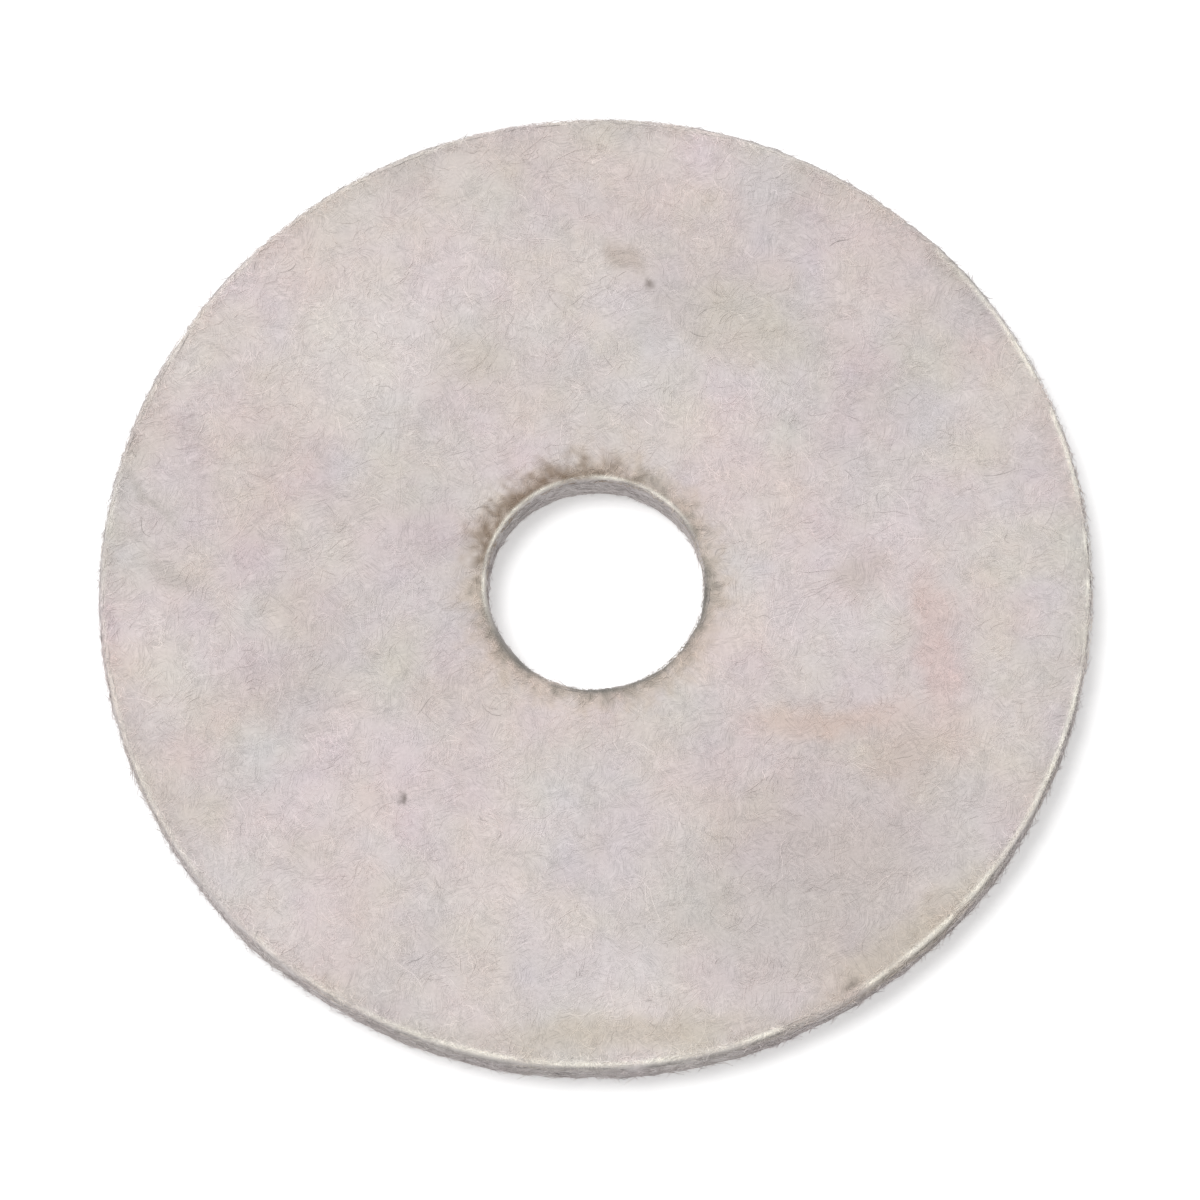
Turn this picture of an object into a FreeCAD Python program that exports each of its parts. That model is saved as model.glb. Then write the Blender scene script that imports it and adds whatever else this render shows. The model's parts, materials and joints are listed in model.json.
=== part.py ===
"""Felt polishing wheel: one flat disc of hard pressed wool felt with a plain round arbor hole.

Frame: millimetres, +Z up along the arbor hole's axis. The origin is the centre of the back face,
so the wheel lies flat on the plane z = 0 and its front face is at z = THICKNESS.
"""

import os

import FreeCAD, Part

# Driving dimensions, in millimetres.
OUTSIDE_DIAMETER = 100.0  # nominal 4 inch wheel
ARBOR_HOLE_DIAMETER = 22.2  # for a 7/8 inch arbor
THICKNESS = 5.0
RIM_EDGE_RADIUS = 0.5  # the cut edges of the rim are worn slightly round
HOLE_EDGE_RADIUS = 0.4  # and so are those of the arbor hole

ORIGIN = FreeCAD.Vector(0, 0, 0)
UP = FreeCAD.Vector(0, 0, 1)
OUT_DIR = "parts"


def circular_edges(shape, radius):
    """The full-circle edges of a shape that have this radius."""
    return [
        edge
        for edge in shape.Edges
        if isinstance(edge.Curve, Part.Circle) and abs(edge.Curve.Radius - radius) < 1e-6
    ]


def make_felt_disc():
    """A flat ring of felt, its four circular edges rounded."""
    blank = Part.makeCylinder(OUTSIDE_DIAMETER / 2, THICKNESS, ORIGIN, UP)
    arbor_hole = Part.makeCylinder(ARBOR_HOLE_DIAMETER / 2, THICKNESS, ORIGIN, UP)
    ring = blank.cut(arbor_hole)
    ring = ring.makeFillet(RIM_EDGE_RADIUS, circular_edges(ring, OUTSIDE_DIAMETER / 2))
    return ring.makeFillet(HOLE_EDGE_RADIUS, circular_edges(ring, ARBOR_HOLE_DIAMETER / 2))


NODES = {"felt_disc": make_felt_disc}


def main():
    os.makedirs(OUT_DIR, exist_ok=True)
    for name, make in NODES.items():
        shape = make()
        shape.exportStep(f"{OUT_DIR}/{name}.step")
        print(f"{name}: solids {len(shape.Solids)}, valid {shape.isValid()}, {shape.Volume:.1f} mm3")


main()
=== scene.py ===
"""Felt polishing wheel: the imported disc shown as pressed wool, with matted faces and a fuzzy cut edge.

The wheel lies on the floor with +Z up its arbor hole. Lengths here are in millimetres, as a
polishing wheel is drawn, and new_mesh() and metres() turn them into Blender's metres.
"""

import itertools
import json
import math

import bpy
import numpy as np
from mathutils import Matrix, Vector


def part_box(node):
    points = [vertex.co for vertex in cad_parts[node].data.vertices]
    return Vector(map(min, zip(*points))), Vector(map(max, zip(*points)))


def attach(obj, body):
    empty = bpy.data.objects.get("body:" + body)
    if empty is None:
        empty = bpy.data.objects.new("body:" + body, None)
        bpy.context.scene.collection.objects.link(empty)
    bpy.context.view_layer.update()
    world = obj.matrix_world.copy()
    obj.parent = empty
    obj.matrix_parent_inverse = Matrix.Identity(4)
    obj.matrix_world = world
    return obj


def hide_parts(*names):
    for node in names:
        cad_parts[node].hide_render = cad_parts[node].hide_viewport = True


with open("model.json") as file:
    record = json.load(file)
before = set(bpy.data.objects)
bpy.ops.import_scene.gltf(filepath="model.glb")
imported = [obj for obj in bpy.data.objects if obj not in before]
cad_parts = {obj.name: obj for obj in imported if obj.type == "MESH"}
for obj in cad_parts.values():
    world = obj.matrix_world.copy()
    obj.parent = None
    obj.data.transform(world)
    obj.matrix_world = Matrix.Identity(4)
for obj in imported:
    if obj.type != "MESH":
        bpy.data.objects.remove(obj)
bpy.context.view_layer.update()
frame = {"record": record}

MM = 0.001
SEED = 20

# The wheel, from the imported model.
disc_low, disc_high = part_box("felt_disc")
RIM_R = (disc_high.x - disc_low.x) / 2 / MM
TOP_Z = disc_high.z / MM
HOLE_R = frame["record"]["mounts"][0]["dims"]["r_mm"]

# The felt.
RIM_ROUND = 0.45  # worn edges of the rim
HOLE_ROUND = 0.4
REST_GAP = 0.12  # the dense felt stands this far off the floor, on its own nap
LOWEST = 0.07  # where the undermost strands lie
AROUND = 580  # points round each ring of the felt
STRAND_R = (0.014, 0.034)  # thinnest and thickest strand
STRAND_SIDES = 3
ROOT = 0.04  # how deep a strand's ends are sunk in the felt
LOCK = 6  # strands that lie together in one lock

# Degrees round from +X.
SCORCH_HEADING = 118  # where the hole's edge was scorched most
HOLE_LIGHT_HEADING = 110  # where the hole's edge has its painted highlight; painted shade lies round the rest of that edge
RIM_LIGHT_HEADING = -40  # where the rim's edge has its painted highlight, with painted shade just outside it

rng = np.random.default_rng(SEED)


def metres(*millimetres):
    return Vector(millimetres) * MM


# What all pieces share -------------------------------------------------------------------------


def lattice_noise(points, seed):
    """Smooth noise from -1 to 1 at (..., 3) points, one lattice cell per unit."""
    cell = np.floor(points).astype(np.int64)
    inside = points - cell
    ease_in = inside * inside * (3 - 2 * inside)
    total = np.zeros(points.shape[:-1])
    for corner in itertools.product((0, 1), repeat=3):
        # The corner's value is a hash of where it is: large primes, then the bits mixed twice.
        key = (cell + corner) @ np.array([73856093, 19349663, 83492791]) + seed * 7919
        key = (key ^ (key >> 13)) * 1274126177
        value = ((key ^ (key >> 16)) & 0xFFFF) / 32767.5 - 1
        total += value * np.prod(np.where(corner, ease_in, 1 - ease_in), axis=-1)
    return total


def fractal(points, size, seed, octaves=3):
    """Noise whose largest lumps are about size millimetres, with finer lumps on them."""
    layers = [lattice_noise(points * 2**k / size, seed + k) / 2**k for k in range(octaves)]
    return sum(layers)


def ease(value, start, end):
    """0 where value is at start or before it, 1 from end on, and smooth between."""
    t = np.clip((value - start) / (end - start), 0, 1)
    return t * t * (3 - 2 * t)


def relief(points, facing_up):
    """How far the felt stands out from its smooth form. facing_up is 1 on a face and 0 on a cut edge."""
    swell = 0.08 * lattice_noise(points / 13, 1)
    lumps = 0.05 * lattice_noise(points / 3.7, 2) + 0.04 * lattice_noise(points / 1.7, 3)
    tufts = 0.09 * np.clip(lattice_noise(points / 2.3, 4) - 0.35, 0, None)
    layers = 0.13 * lattice_noise(points / (5.0, 5.0, 0.75), 5)
    cuts = 0.11 * lattice_noise(points / (1.5, 1.5, 0.5), 6)
    out_of_round = 0.14 * lattice_noise(points / (17, 17, 40), 7)
    return swell + lumps + tufts * facing_up + (layers + cuts + out_of_round) * (1 - facing_up)


def srgb(r, g, b):
    """Screen values from 0 to 255, as the linear colour that Blender uses."""
    share = np.array([r, g, b]) / 255
    return np.where(share <= 0.04045, share / 12.92, ((share + 0.055) / 1.055) ** 2.4)


WOOL = srgb(210, 200, 197)
# Cut edges: the wool's own greyer tone, made darker partly as painted shade.
CUT_WOOL_AND_SHADE = srgb(190, 184, 183)
# The next two are painted light: a highlight and a shade for lines along the front edges.
PAINTED_EDGE_HIGHLIGHT = srgb(243, 239, 229)
PAINTED_EDGE_SHADE = srgb(118, 115, 110)
# Dust near the edges, partly painted shade of their rounded edges.
DUST_AND_SHADE = srgb(142, 136, 126)
TAN = srgb(191, 174, 153)
SCORCH = srgb(122, 98, 76)

# How the wool's colour drifts: size of the lumps, octaves, and the change in red, green and blue.
DRIFTS = (
    (16, 2, (0.07, 0.07, 0.07)),
    (5.0, 3, (0.03, 0.03, 0.03)),
    (1.3, 2, (0.022, 0.022, 0.022)),
    (7.0, 3, (0.022, -0.024, -0.012)),
    (5.0, 3, (0.012, 0.009, -0.032)),
)

# Marks of use on the front face: centre x and y, length, width, turn in degrees, colour, strength.
MARKS = (
    (22.6, -16.4, 20, 5, -1, srgb(208, 182, 166), 0.5),
    (33.6, -10, 6, 23, 5, srgb(212, 185, 178), 0.5),
    (29.3, -20.6, 11, 7, 30, srgb(200, 176, 156), 0.4),
    (27, -1.4, 8, 6, 25, srgb(178, 164, 150), 0.35),
    (21.3, -32, 38, 26, 35, srgb(190, 181, 178), 0.6),
    (26.6, -40.5, 28, 6, 33, srgb(192, 180, 162), 0.5),
    (0, -46.7, 36, 5, -3, srgb(190, 178, 160), 0.5),
    (-42.7, 4.7, 9, 3.4, -43, srgb(170, 165, 159), 0.4),
    (-44, 12.9, 13, 1.6, -47, srgb(170, 164, 156), 0.4),
    (-20.8, -20.3, 1.8, 0.8, 55, srgb(96, 86, 78), 0.7),
    (6, 34.6, 6, 4, -45, srgb(172, 154, 136), 0.4),
    (7.8, 31.4, 2.0, 1.1, 15, srgb(96, 84, 76), 0.7),
    (22.2, -44, 3.2, 1.0, 30, srgb(104, 96, 86), 0.6),
    (-9.9, 25, 14, 10, 0, srgb(196, 187, 178), 0.4),
    (14.4, 26.8, 20, 10, -25, srgb(196, 186, 176), 0.4),
    (-30.8, -7.3, 18, 11, 25, srgb(192, 185, 181), 0.4),
    (-11, -33.2, 22, 11, -20, srgb(222, 213, 208), 0.4),
    (-24, 24.2, 24, 14, 30, srgb(222, 213, 210), 0.4),
)


def wool_tint(points, facing_up):
    """The wool's colour from place to place: drifts, marks, dust and painted shade near the edges, painted
    highlights and shade along them, and the scorched hole.
    """

    def blend(colour, other, share):
        return colour + (other - colour) * share[..., None]

    drift = np.zeros(points.shape)
    for seed, (size, octaves, change) in enumerate(DRIFTS):
        drift += fractal(points, size, 80 + 10 * seed, octaves)[..., None] * change
    colour = WOOL * (1 + drift)

    radius = np.hypot(points[..., 0], points[..., 1])
    grain = fractal(points, 1.1, 131)
    cut = np.broadcast_to(1 - facing_up, radius.shape)
    # Cut edges take a greyer, darker wool: partly their own tone, partly painted shade.
    colour = blend(colour, CUT_WOOL_AND_SHADE, 0.75 * cut)
    # The face darkens towards the rim: dust, and painted shade of the rounded edge.
    rim = ease(radius + 0.9 * grain, RIM_R - 3.0, RIM_R + 1.5)
    colour = blend(colour, DUST_AND_SHADE, 0.25 * rim * facing_up)

    on_front = ease(points[..., 2], TOP_Z - 2.5, TOP_Z - 0.7)
    ragged = points + 0.9 * np.stack([fractal(points, 2.2, seed) for seed in (51, 61, 71)], axis=-1)
    for x, y, length, width, turn, mark, strength in MARKS:
        cos, sin = math.cos(math.radians(turn)), math.sin(math.radians(turn))
        dx, dy = ragged[..., 0] - x, ragged[..., 1] - y
        away = np.hypot((dx * cos + dy * sin) * 2 / length, (dy * cos - dx * sin) * 2 / width)
        colour = blend(colour, mark, strength * (1 - ease(away, 0.2, 1.2)) * on_front)

    past_hole = radius - HOLE_R
    fine_grain = fractal(points, 0.7, 141, 2)
    colour = blend(colour, TAN, 0.45 * (1 - ease(past_hole + 1.5 * grain, 0.2, 4.0)) * facing_up)
    # The face darkens near the hole: dust, and painted shade of the rounded edge.
    hole_dust_and_shade = ease(0.7 * fine_grain - 0.5 * past_hole, -1.0, 0.4)
    colour = blend(colour, DUST_AND_SHADE, 0.65 * hole_dust_and_shade * facing_up)
    heading = np.arctan2(points[..., 1], points[..., 0])
    burnt_side = ease(np.cos(heading - math.radians(SCORCH_HEADING)), 0.25, 1.0)
    flecks = ease(0.7 * fine_grain + 0.9 * burnt_side - 0.5 * past_hole, -0.95, 1.1)
    colour = blend(colour, SCORCH, 0.8 * flecks * burnt_side * facing_up * on_front)

    # Broken lines along the front edges, all painted light: a painted highlight and a painted shade line on
    # the rim's lower right, a painted highlight on the hole's upper left, and painted shade round the rest of
    # the hole. Columns: radius, width, colour, and how much shows at each heading.
    breaks = ease(fractal(points, 3.1, 151), -0.8, 0.5)
    on_edge = ease(points[..., 2], TOP_Z - 1.1, TOP_Z - 0.4) * breaks
    lower_right = 0.35 + 0.65 * ease(np.cos(heading - math.radians(RIM_LIGHT_HEADING)), -0.2, 0.7)
    upper_left = ease(np.cos(heading - math.radians(HOLE_LIGHT_HEADING)), -0.3, 0.5)
    painted_edge_lines = (
        (RIM_R - 0.34, 0.26, PAINTED_EDGE_HIGHLIGHT, lower_right),
        (RIM_R + 0.06, 0.20, PAINTED_EDGE_SHADE, 0.6 * lower_right),
        (HOLE_R + 0.20, 0.16, PAINTED_EDGE_HIGHLIGHT, upper_left),
        (HOLE_R + 0.12, 0.42, PAINTED_EDGE_SHADE, 1 - upper_left),
    )
    for edge, width, line_colour, share in painted_edge_lines:
        line = np.exp(-(((radius - edge) / width) ** 2))
        colour = blend(colour, line_colour, 0.9 * line * share * on_edge)
    return colour


def new_mesh(name, points, faces, tint, material):
    """A smooth-shaded piece of the wheel. points are in millimetres, with a wool colour for each."""
    mesh = bpy.data.meshes.new(name)
    mesh.from_pydata((points.reshape(-1, 3) * MM).tolist(), [], faces)
    mesh.shade_smooth()
    tints = mesh.attributes.new("tint", "FLOAT_VECTOR", "POINT")
    tints.data.foreach_set("vector", tint.reshape(-1).astype(np.float32))
    mesh.materials.append(material)
    piece = bpy.data.objects.new(name, mesh)
    bpy.context.scene.collection.objects.link(piece)
    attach(piece, "root")
    return piece


# The dense felt ------------------------------------------------------------------------------


def profile():
    """The felt's cross-section as a closed loop of (radius, height, outward radius, outward height)."""
    rows = []

    def straight(start, end, outward, step):
        count = max(2, round(math.dist(start, end) / step))
        for t in (np.arange(count) + 0.5) / count:
            rows.append((*(np.array(start) * (1 - t) + np.array(end) * t), *outward))

    def corner(centre, radius, from_deg, to_deg):
        for a in np.radians(np.linspace(from_deg, to_deg, 4)):
            rows.append((centre[0] + radius * math.cos(a), centre[1] + radius * math.sin(a),
                         math.cos(a), math.sin(a)))

    low = REST_GAP
    inner, outer = HOLE_R + HOLE_ROUND, RIM_R - RIM_ROUND
    straight((inner, TOP_Z), (outer, TOP_Z), (0, 1), 0.42)
    corner((outer, TOP_Z - RIM_ROUND), RIM_ROUND, 90, 0)
    straight((RIM_R, TOP_Z - RIM_ROUND), (RIM_R, low + RIM_ROUND), (1, 0), 0.26)
    corner((outer, low + RIM_ROUND), RIM_ROUND, 0, -90)
    straight((outer, low), (inner, low), (0, -1), 1.0)
    corner((inner, low + HOLE_ROUND), HOLE_ROUND, -90, -180)
    straight((HOLE_R, low + HOLE_ROUND), (HOLE_R, TOP_Z - HOLE_ROUND), (-1, 0), 0.4)
    corner((inner, TOP_Z - HOLE_ROUND), HOLE_ROUND, 180, 90)
    return np.array(rows)


def make_core(material):
    """The disc itself: the cross-section turned round the axis, then pushed in and out by the relief."""
    rows = profile()
    turn = np.linspace(0, 2 * math.pi, AROUND, endpoint=False)
    turn = turn[None, :] + rng.normal(0, 0.12, (len(rows), AROUND)) * (2 * math.pi / AROUND)
    radius, height, out_r, out_z = (rows[:, k, None] for k in range(4))
    cos, sin = np.cos(turn), np.sin(turn)
    flat = np.broadcast_to
    base = np.stack([radius * cos, radius * sin, flat(height, turn.shape)], axis=-1)
    outward = np.stack([out_r * cos, out_r * sin, flat(out_z, turn.shape)], axis=-1)
    points = base + outward * relief(base, flat(out_z**2, turn.shape))[..., None]
    points[..., 2] = np.maximum(points[..., 2], REST_GAP / 2)

    rings, faces = len(rows), []
    for i in range(rings):
        here, there = i * AROUND, (i + 1) % rings * AROUND
        for j in range(AROUND):
            k = (j + 1) % AROUND
            faces.append((here + j, there + j, there + k, here + k))
    up = flat(ease(np.abs(out_z), 0.3, 0.9), turn.shape)
    core = new_mesh("felt_core", points, faces, wool_tint(base, up), material)
    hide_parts("felt_disc")
    return core


# Loose strands -------------------------------------------------------------------------------


def tubes(name, lines, radii, shades, outward, material):
    """One piece: a thin closed tube along each line, flat side outward. lines is (strands, points, 3)."""
    along = np.gradient(lines, axis=1)
    along /= np.linalg.norm(along, axis=-1, keepdims=True)
    side = np.cross(along, outward + np.array((0.013, 0.021, 0.017)))
    side /= np.linalg.norm(side, axis=-1, keepdims=True)
    above = np.cross(side, along)
    count, steps = lines.shape[:2]
    sides = STRAND_SIDES
    rings = []
    for a in math.pi / 6 - 2 * math.pi * np.arange(sides) / sides:
        rings.append(lines + (side * math.cos(a) + above * math.sin(a)) * radii[..., None])
    points = np.stack(rings, axis=2)
    tint = wool_tint(lines, np.abs(outward[..., 2])) * shades[:, None, None]

    start = np.arange(count)[:, None, None] * steps * sides
    ring = np.arange(steps - 1)[None, :, None] * sides
    k = np.arange(sides)[None, None, :]
    here, there = start + ring + k, start + ring + (k + 1) % sides
    quads = np.stack([here, there, there + sides, here + sides], axis=-1)
    first = start[:, 0] + np.arange(sides)[::-1]
    last = start[:, 0] + (steps - 1) * sides + np.arange(sides)
    faces = quads.reshape(-1, 4).tolist() + first.tolist() + last.tolist()
    return new_mesh(name, points, faces, np.repeat(tint, sides, axis=1), material)


def wander(lengths, steps, curl):
    """Flat crimped strokes as (forward, sideways) in millimetres, heading forward at first."""
    count = len(lengths)
    s = np.linspace(0, 1, steps)
    crimp = np.sin(2 * math.pi * (s * rng.uniform(0.6, 1.6, (count, 1)) + rng.random((count, 1))))
    heading = rng.normal(0, curl, (count, 1)) * s + rng.normal(0, curl * 0.8, (count, 1)) * crimp
    heading = (heading[:, 1:] + heading[:, :-1]) / 2
    step = lengths[:, None] / (steps - 1)
    start = np.zeros((count, 1))
    forward = np.concatenate([start, np.cumsum(np.cos(heading) * step, axis=1)], axis=1)
    sideways = np.concatenate([start, np.cumsum(np.sin(heading) * step, axis=1)], axis=1)
    return forward, sideways


def lift(count, steps, height, free_share, free_height):
    """How far each strand stands out along its length: a low arch, or one end free to stand up."""
    s = np.linspace(0, 1, steps)
    arch = (height * rng.random((count, 1)) + ROOT) * np.sin(math.pi * s) ** 0.5 - ROOT
    free = (free_height * rng.random((count, 1)) ** 1.5 + ROOT) * s**1.6 - ROOT
    return np.where(rng.random((count, 1)) < free_share, free, arch)


def widths(count, steps):
    """Strand radii: one width per strand, thinner towards both ends."""
    s = np.linspace(0, 1, steps)
    return rng.uniform(*STRAND_R, (count, 1)) * (0.45 + 0.55 * np.sin(math.pi * s) ** 0.5)


def strand_shades(count, lighter=0.0):
    """How light each strand is beside the wool round it: most a little lighter, and a few dark."""
    shades = 1.18 + lighter + rng.gamma(1.1, 0.06, count)
    return np.where(rng.random(count) < 0.008, rng.uniform(0.7, 0.9, count), shades)


def edge_drop(radius):
    """How far a face has fallen away at this radius, over its rounded edges."""

    def drop(past, rounding):
        inside = np.clip(past, 0, rounding)
        return rounding - np.sqrt(rounding**2 - inside**2) + np.clip(past - rounding, 0, None)

    return drop(radius - (RIM_R - RIM_ROUND), RIM_ROUND) + drop(HOLE_R + HOLE_ROUND - radius, HOLE_ROUND)


def face_nap(name, locks, steps, top, standing, material):
    """Strands over one face, in small locks that lie every way. standing ends lift()'s arguments."""
    count = locks * LOCK

    def spread(values):
        return np.repeat(values, LOCK, axis=0)

    radius = np.sqrt(rng.uniform((HOLE_R - 0.1) ** 2, (RIM_R + 0.1) ** 2, locks))
    turn = rng.uniform(0, 2 * math.pi, locks)
    forward, sideways = wander(rng.gamma(4.0, 0.65, locks) + 0.8, steps, 1.0)
    stretch = rng.uniform(0.5, 1.1, (count, 1))
    forward, sideways = spread(forward) * stretch, spread(sideways) * stretch
    heading = (spread(rng.uniform(0, 2 * math.pi, locks)) + rng.normal(0, 0.4, count))[:, None]
    start = rng.normal(0, 0.45, (2, count, 1))
    cos, sin = np.cos(heading), np.sin(heading)
    x = spread(radius * np.cos(turn))[:, None] + start[0] + forward * cos - sideways * sin
    y = spread(radius * np.sin(turn))[:, None] + start[1] + forward * sin + sideways * cos
    reach = np.hypot(x, y)
    kept = (reach.max(axis=1) < RIM_R + 0.2) & (reach.min(axis=1) > HOLE_R - 0.25)
    x, y, reach = x[kept], y[kept], reach[kept]
    shades = (strand_shades(count) + spread(rng.normal(0, 0.04, locks)))[kept]
    base = np.stack([x, y, np.full_like(x, TOP_Z if top else REST_GAP)], axis=-1)
    out = relief(base, 1.0) + lift(len(x), steps, 0.028, *standing) - edge_drop(reach)
    base[..., 2] = TOP_Z + out if top else np.maximum(REST_GAP - out / 2, LOWEST)
    outward = np.array((0, 0, 1.0 if top else -1.0))
    return tubes(name, base, widths(len(x), steps), shades, outward, material)


def wall_nap(name, count, steps, wall_r, sign, lengths, standing, material):
    """Strands round a cut edge in layers. sign is -1 in the hole; standing ends lift()'s arguments."""
    forward, sideways = wander(rng.uniform(*lengths, count), steps, 0.5)
    slope = rng.normal(0, 0.22, (count, 1))
    back = np.where(rng.random((count, 1)) < 0.5, 1, -1)
    around = back * (forward * np.cos(slope) - sideways * np.sin(slope))
    z = rng.uniform(REST_GAP + 0.1, TOP_Z - 0.05, (count, 1))
    z = np.clip(z + forward * np.sin(slope) + sideways * np.cos(slope), LOWEST, TOP_Z + 0.1)
    turn = rng.uniform(0, 2 * math.pi, (count, 1)) + around / wall_r
    rounding = RIM_ROUND if sign > 0 else HOLE_ROUND
    past = np.clip(np.maximum(z - (TOP_Z - rounding), REST_GAP + rounding - z), 0, rounding)
    drop = rounding - np.sqrt(rounding**2 - past**2)
    base = np.stack([wall_r * np.cos(turn), wall_r * np.sin(turn), z], axis=-1)
    r = wall_r + sign * (relief(base, 0.0) + lift(count, steps, 0.06, *standing) - drop)
    lines = np.stack([r * np.cos(turn), r * np.sin(turn), z], axis=-1)
    outward = sign * np.stack([np.cos(turn), np.sin(turn), 0 * turn], axis=-1)
    shades = strand_shades(count) + rng.normal(0, 0.08, count)
    return tubes(name, lines, widths(count, steps), shades, outward, material)


def edge_fringe(name, count, steps, edge_r, sign, material):
    """Short pale strands that the cut has left along a front edge, made lighter still as a painted highlight.
    sign is -1 at the hole.
    """
    forward, sideways = wander(rng.uniform(0.5, 1.7, count), steps, 0.8)
    heading = rng.uniform(0, 2 * math.pi, (count, 1))
    outward = forward * np.cos(heading) - sideways * np.sin(heading)
    around = forward * np.sin(heading) + sideways * np.cos(heading)
    past = outward - rng.uniform(0.0, 0.9, (count, 1))
    r = edge_r + sign * np.minimum(past, 0.12 + 0.1 * past)
    turn = rng.uniform(0, 2 * math.pi, (count, 1)) + around / edge_r
    base = np.stack([r * np.cos(turn), r * np.sin(turn), np.full_like(r, TOP_Z)], axis=-1)
    rise = lift(count, steps, 0.08, 0.2, 0.2)
    drop = np.minimum(edge_drop(r), 0.9)
    base[..., 2] = TOP_Z + relief(base, 0.7) + rise - drop
    return tubes(name, base, widths(count, steps), strand_shades(count, 0.2), np.array((0, 0, 1.0)), material)


# Materials -----------------------------------------------------------------------------------


class Nodes:
    """A material's node tree, with a short call for each kind of node used here."""

    def __init__(self, name):
        self.material = bpy.data.materials.new(name)
        self.material.use_nodes = True
        self.tree = self.material.node_tree
        self.shader = self.tree.nodes["Principled BSDF"]
        coordinates = self.add("ShaderNodeTexCoord").outputs["Object"]
        self.place = self.vector("SCALE", coordinates, Scale=1 / MM)  # in millimetres

    def add(self, kind, inputs=(), **settings):
        node = self.tree.nodes.new(kind)
        for name, value in settings.items():
            setattr(node, name, value)
        for socket, value in dict(inputs).items():
            if isinstance(value, bpy.types.NodeSocket):
                self.tree.links.new(value, node.inputs[socket])
            else:
                node.inputs[socket].default_value = value
        return node

    def vector(self, operation, a, b=(0, 0, 0), **named):
        return self.add("ShaderNodeVectorMath", {0: a, 1: b, **named}, operation=operation).outputs[0]

    def math(self, operation, a, b=0.0):
        return self.add("ShaderNodeMath", {0: a, 1: b}, operation=operation).outputs[0]

    def product(self, first, *others):
        for other in others:
            first = self.math("MULTIPLY", first, other)
        return first

    def total(self, first, *others):
        for other in others:
            first = self.math("ADD", first, other)
        return first

    def ease(self, value, start, end, low=0.0, high=1.0):
        """low where value is at start or before it, high from end on, and smooth between."""
        ends = {"Value": value, "From Min": start, "From Max": end, "To Min": low, "To Max": high}
        return self.add("ShaderNodeMapRange", ends, interpolation_type="SMOOTHSTEP").outputs[0]

    def shaded(self, colour, shade):
        """A colour multiplied by a number."""
        inputs = {0: 1.0, 6: colour, 7: shade}
        return self.add("ShaderNodeMix", inputs, data_type="RGBA", blend_type="MULTIPLY").outputs[2]

    def fitted(self, source, size, turn=0.0, centre=(0, 0, 0)):
        """Coordinates about centre, turned by turn degrees, in which one unit is size millimetres."""
        rotation = (0, 0, math.radians(turn))
        inputs = {"Vector": source, "Location": centre, "Rotation": rotation, "Scale": size}
        return self.add("ShaderNodeMapping", inputs, vector_type="TEXTURE").outputs[0]

    def noise(self, source, size, detail=2.0, rough=0.5, turn=0.0, shift=0.0):
        """Noise from 0 to 1 whose lumps are about size millimetres, a number or one for each axis."""
        size = size if isinstance(size, tuple) else (size,) * 3
        spot = self.fitted(source, size, turn, (shift, 2 * shift, 3 * shift))
        inputs = {"Vector": spot, "Scale": 1.0, "Detail": detail, "Roughness": rough}
        return self.add("ShaderNodeTexNoise", inputs).outputs[0]

    def warped(self, source, size, reach):
        """source pushed about by up to roughly reach millimetres, in lumps of size millimetres."""
        inputs = {"Vector": self.fitted(source, (size,) * 3), "Scale": 1.0, "Detail": 1.0}
        push = self.add("ShaderNodeTexNoise", inputs).outputs["Color"]
        push = self.vector("SUBTRACT", push, (0.5, 0.5, 0.5))
        return self.vector("ADD", source, self.vector("SCALE", push, Scale=2 * reach))


def strands(n, source, patches, length, width, shift):
    """Curved strands lying every way over a face, from 0 in the gaps to 1 on a strand."""
    found = 0.0
    for turn, patch in zip((15, 74, 133), patches):
        streak = n.noise(source, (length, width, 2.0), 1.0, 0.4, turn, shift + turn)
        found = n.math("MAXIMUM", found, n.product(n.ease(streak, 0.48, 0.74), patch))
    return found


def matted_wool():
    """The dense felt: locks and strands pressed into its faces, layers on its cut edges, a fine grain."""
    n = Nodes("matted_wool")
    curly = n.warped(n.place, 2.4, 0.9)
    spot = n.fitted(n.place, (2.4, 2.4, 2.4))
    where = n.add("ShaderNodeTexNoise", {"Vector": spot, "Scale": 1.0, "Detail": 0.0}).outputs["Color"]
    channels = n.add("ShaderNodeSeparateColor", {0: where}).outputs
    patches = [n.ease(channel, 0.34, 0.60) for channel in channels[:3]]
    locks = strands(n, curly, patches, 2.0, 0.36, 0.0)
    fine = strands(n, curly, patches[::-1], 1.5, 0.10, 63.0)
    layers = n.noise(curly, (2.4, 2.4, 0.22), 2.0, 0.6)
    normal = n.add("ShaderNodeNewGeometry").outputs["Normal"]
    up = n.math("ABSOLUTE", n.add("ShaderNodeSeparateXYZ", {0: normal}).outputs["Z"])
    up = n.ease(up, 0.45, 0.85)  # 1 on the faces, 0 on the cut edges
    fine = n.add("ShaderNodeMix", {0: up, 2: n.ease(layers, 0.40, 0.65), 3: fine}).outputs[0]

    grain = n.noise(n.place, 0.3, 2.0, 0.6, 0, 7.0)
    shade = n.total(n.ease(grain, 0.2, 0.8, 0.90, 1.02), n.product(locks, 0.09), n.product(fine, 0.06))
    tint = n.add("ShaderNodeAttribute", attribute_name="tint").outputs["Color"]
    n.tree.links.new(n.shaded(tint, shade), n.shader.inputs["Base Color"])
    height = n.total(n.product(fine, 0.8), n.product(grain, 0.6))
    bump = n.add("ShaderNodeBump", {"Height": height, "Distance": 0.08 * MM, "Strength": 0.8})
    n.tree.links.new(bump.outputs[0], n.shader.inputs["Normal"])
    n.tree.links.new(n.ease(fine, 0.0, 1.0, 0.97, 0.88), n.shader.inputs["Roughness"])
    return finish_wool(n)


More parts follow.
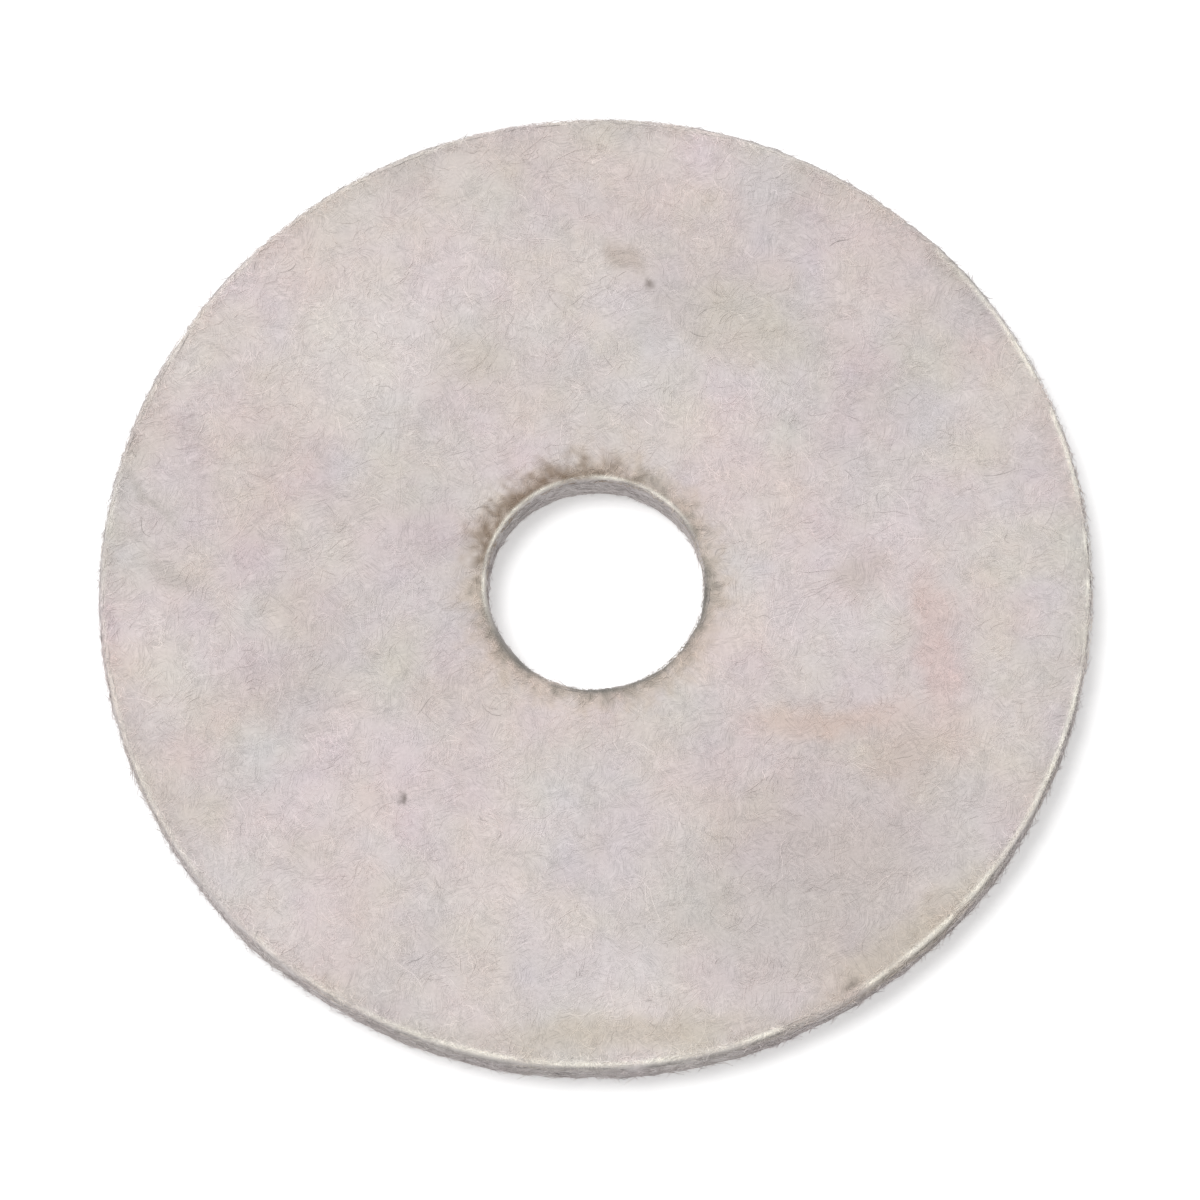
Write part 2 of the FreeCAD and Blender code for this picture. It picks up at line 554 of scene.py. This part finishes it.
def loose_wool():
    """Single strands: each has the felt's colour where it lies, in its own shade, a little uneven."""
    n = Nodes("loose_wool")
    tint = n.add("ShaderNodeAttribute", attribute_name="tint").outputs["Color"]
    uneven = n.ease(n.noise(n.place, 0.7, 1.0), 0.3, 0.7, 0.94, 1.06)
    n.tree.links.new(n.shaded(tint, uneven), n.shader.inputs["Base Color"])
    n.shader.inputs["Roughness"].default_value = 0.85
    return finish_wool(n)


def finish_wool(n):
    """What is the same in all the wool: hardly any shine, and a soft fuzzy sheen."""
    settings = {"Sheen Weight": 0.25, "Sheen Roughness": 0.6, "Specular IOR Level": 0.2}
    for name, value in settings.items():
        n.shader.inputs[name].default_value = value
    return n.material


# Studio --------------------------------------------------------------------------------------


def make_floor():
    reach = 40.0  # metres, so that its edge is lost in low views
    mesh = bpy.data.meshes.new("floor")
    mesh.from_pydata([(-reach, -reach, 0), (reach, -reach, 0), (reach, reach, 0), (-reach, reach, 0)],
                     [], [(0, 1, 2, 3)])
    paint = Nodes("floor_paint")
    paint.shader.inputs["Base Color"].default_value = (0.8, 0.8, 0.8, 1)
    paint.shader.inputs["Emission Color"].default_value = (1, 1, 1, 1)
    paint.shader.inputs["Emission Strength"].default_value = 0.30
    paint.shader.inputs["Roughness"].default_value = 0.95
    paint.shader.inputs["Specular IOR Level"].default_value = 0.0
    mesh.materials.append(paint.material)
    floor = bpy.data.objects.new("floor", mesh)
    bpy.context.scene.collection.objects.link(floor)


def make_lights():
    """An even white room, and a broad soft key from high above, beyond the wheel's left."""
    scene = bpy.context.scene
    scene.view_settings.view_transform = "Standard"
    world = bpy.data.worlds.new("studio")
    world.use_nodes = True
    tree = world.node_tree
    room = tree.nodes["Background"]
    room.inputs["Strength"].default_value = 0.56
    backdrop = tree.nodes.new("ShaderNodeBackground")
    backdrop.inputs["Strength"].default_value = 1.1
    for background in (room, backdrop):
        background.inputs["Color"].default_value = (1, 1, 1, 1)
    seen = tree.nodes.new("ShaderNodeLightPath")
    choose = tree.nodes.new("ShaderNodeMixShader")
    tree.links.new(seen.outputs["Is Camera Ray"], choose.inputs[0])
    tree.links.new(room.outputs[0], choose.inputs[1])
    tree.links.new(backdrop.outputs[0], choose.inputs[2])
    tree.links.new(choose.outputs[0], tree.nodes["World Output"].inputs["Surface"])
    scene.world = world

    key = bpy.data.lights.new("key", "SUN")
    key.energy, key.angle = 1.75, math.radians(26)
    lamp = bpy.data.objects.new("key", key)
    lamp.rotation_euler = Vector((-0.36, 0.24, 1.2)).to_track_quat("Z", "Y").to_euler()
    scene.collection.objects.link(lamp)


def make_camera():
    """Steeply above the wheel, a little turned, with a long lens."""
    data = bpy.data.cameras.new("camera")
    data.lens = 200
    elevation, roll = math.radians(73.2), math.radians(-5)
    wheel_share = 0.827  # of the picture's width
    distance = data.lens / data.sensor_width * 2 * RIM_R * MM / wheel_share
    aim = metres(0.37, -1.8, TOP_Z)
    back = Vector((0, -math.cos(elevation), math.sin(elevation)))
    camera = bpy.data.objects.new("camera", data)
    camera.matrix_world = (Matrix.Translation(aim + back * distance)
                           @ back.to_track_quat("Z", "Y").to_matrix().to_4x4()
                           @ Matrix.Rotation(roll, 4, "Z"))
    bpy.context.scene.collection.objects.link(camera)
    bpy.context.scene.camera = camera


matted, loose = matted_wool(), loose_wool()
make_core(matted)
for layer in ("front_nap", "front_middle_nap", "front_under_nap"):  # each under 200,000 faces
    face_nap(layer, 760, 8, True, (0.03, 0.2), loose)
face_nap("front_fuzz", 180, 6, True, (1.0, 0.22), loose)
face_nap("back_nap", 700, 7, False, (0.05, 0.25), loose)
wall_nap("rim_nap", 5800, 6, RIM_R, 1, (1.0, 3.5), (0.04, 0.3), loose)
wall_nap("rim_fuzz", 4200, 6, RIM_R, 1, (0.7, 2.2), (1.0, 0.7), loose)
wall_nap("hole_nap", 1200, 6, HOLE_R, -1, (0.8, 2.5), (0.04, 0.3), loose)
wall_nap("hole_fuzz", 500, 6, HOLE_R, -1, (0.6, 1.8), (1.0, 0.5), loose)
edge_fringe("rim_fringe", 7000, 5, RIM_R, 1, loose)
edge_fringe("hole_fringe", 1300, 5, HOLE_R, -1, loose)
make_floor()
make_lights()
make_camera()
